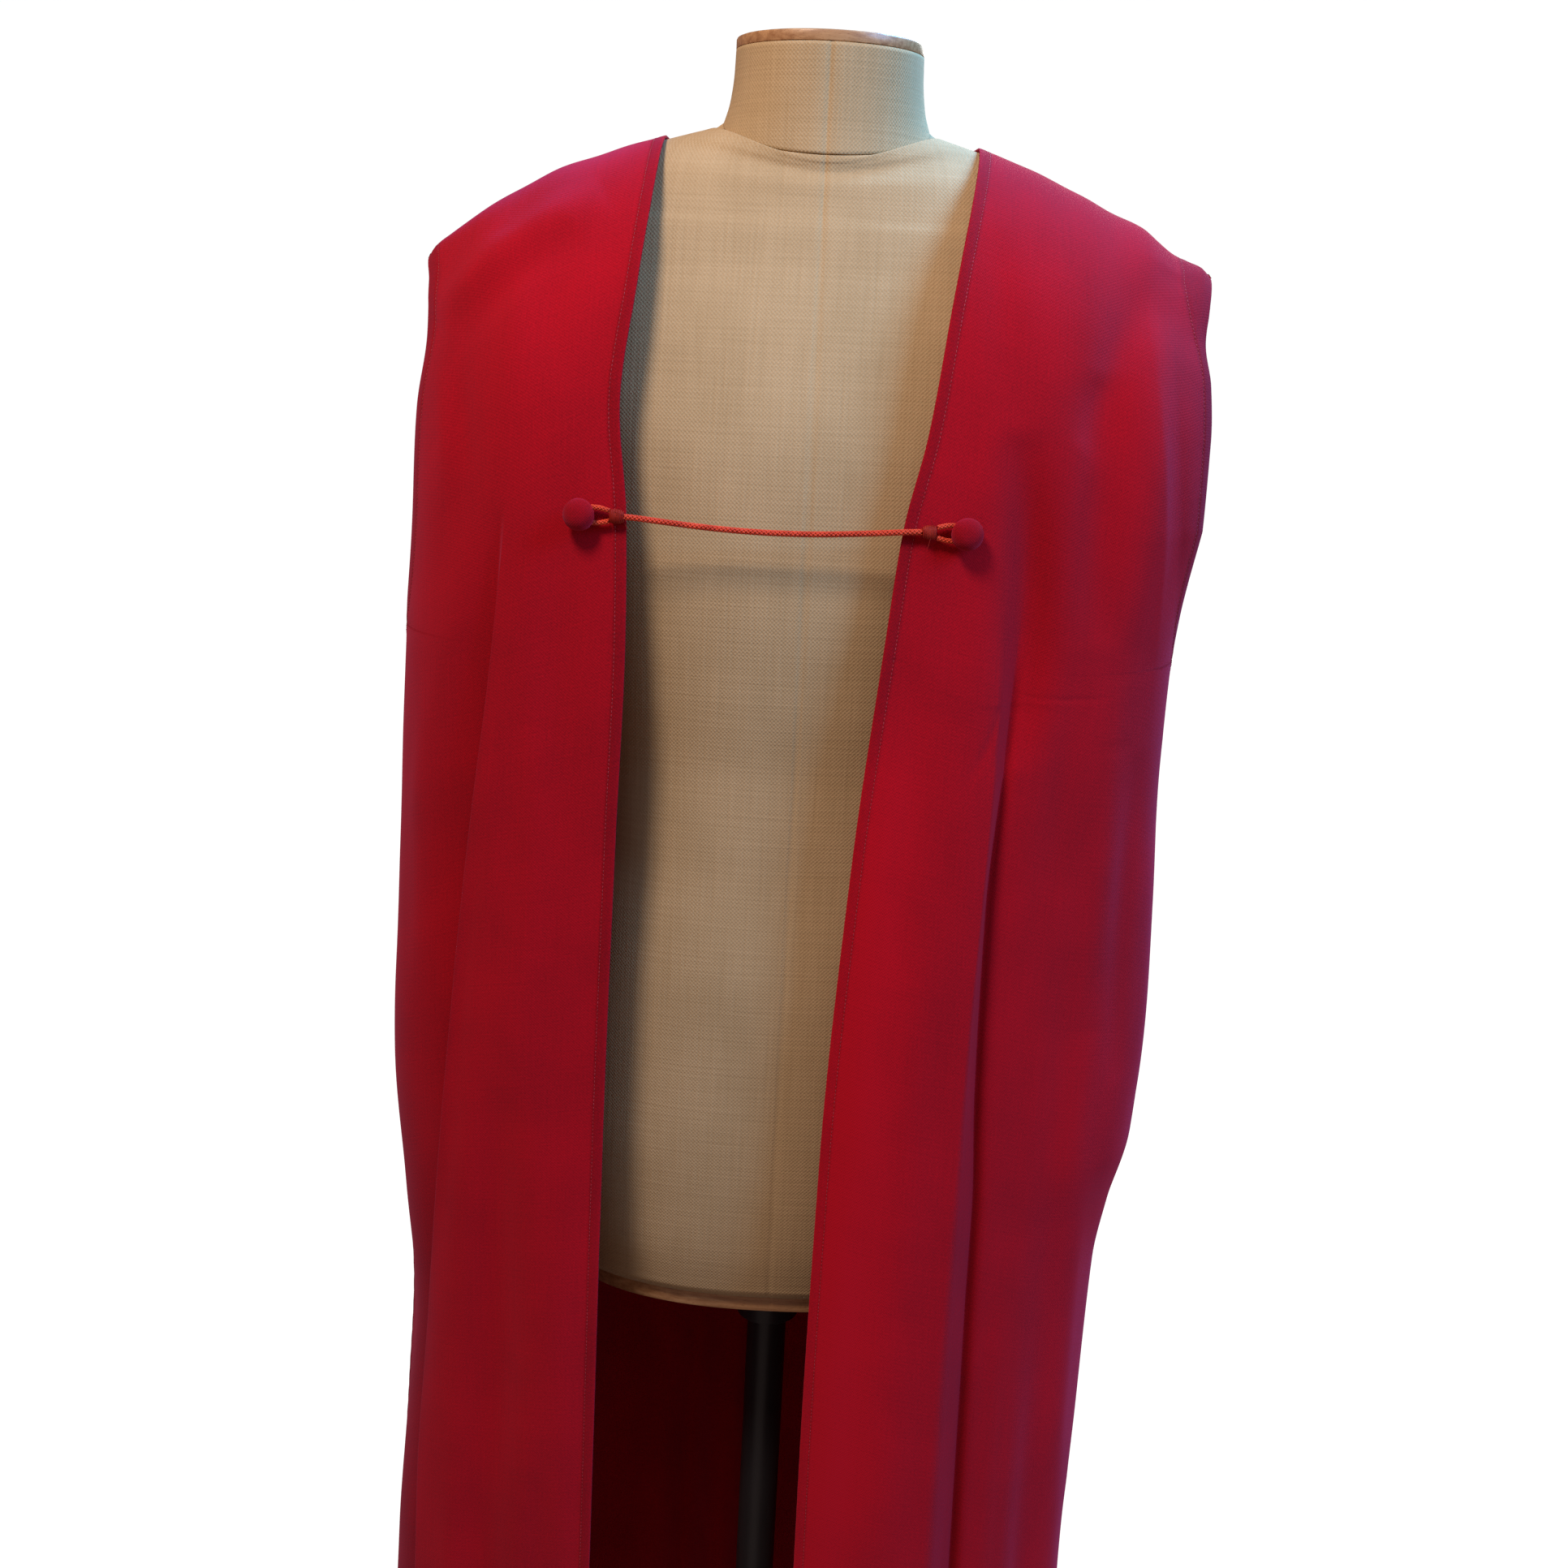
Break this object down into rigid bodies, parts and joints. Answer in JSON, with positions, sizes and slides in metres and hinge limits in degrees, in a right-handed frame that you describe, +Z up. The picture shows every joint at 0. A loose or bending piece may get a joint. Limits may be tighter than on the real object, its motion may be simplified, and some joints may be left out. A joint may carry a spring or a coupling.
{
  "type": "chimere on a dress form",
  "caption": "Sleeveless open-fronted robe with a looped cord fastening, hanging on a limbless linen dress form that stands on a pole with a round base.",
  "frame": {"origin": "the middle of the underside of the stand's round base, on the floor", "axes": "+Z up, -Y the way the wearer faces, +X the wearer's left"},
  "size_m": [0.5204, 0.4088, 1.537],
  "materials": {
    "red_cloth": "fine plain weave of deep red with a soft sheen",
    "red_cord": "braided cord of orange red rayon, slightly shiny",
    "linen": "natural linen, plain weave, matt",
    "varnished_beech": "satin varnish",
    "painted_steel": "satin black powder coat"
  },
  "bodies": {
    "root": {"front_right": "red_cloth", "front_left": "red_cloth", "back": "red_cloth", "button_right": "red_cloth", "button_left": "red_cloth", "fastening_cord": "red_cord", "cord_loop_right": "red_cord", "cord_loop_left": "red_cord", "cord_binding_right": "red_cord", "cord_binding_left": "red_cord", "form_torso": "linen", "form_neck": "linen", "form_neck_cap": "varnished_beech", "form_base_board": "varnished_beech", "stand_socket": "painted_steel", "stand_pole": "painted_steel", "stand_base": "painted_steel"}
  },
  "joints": []
}
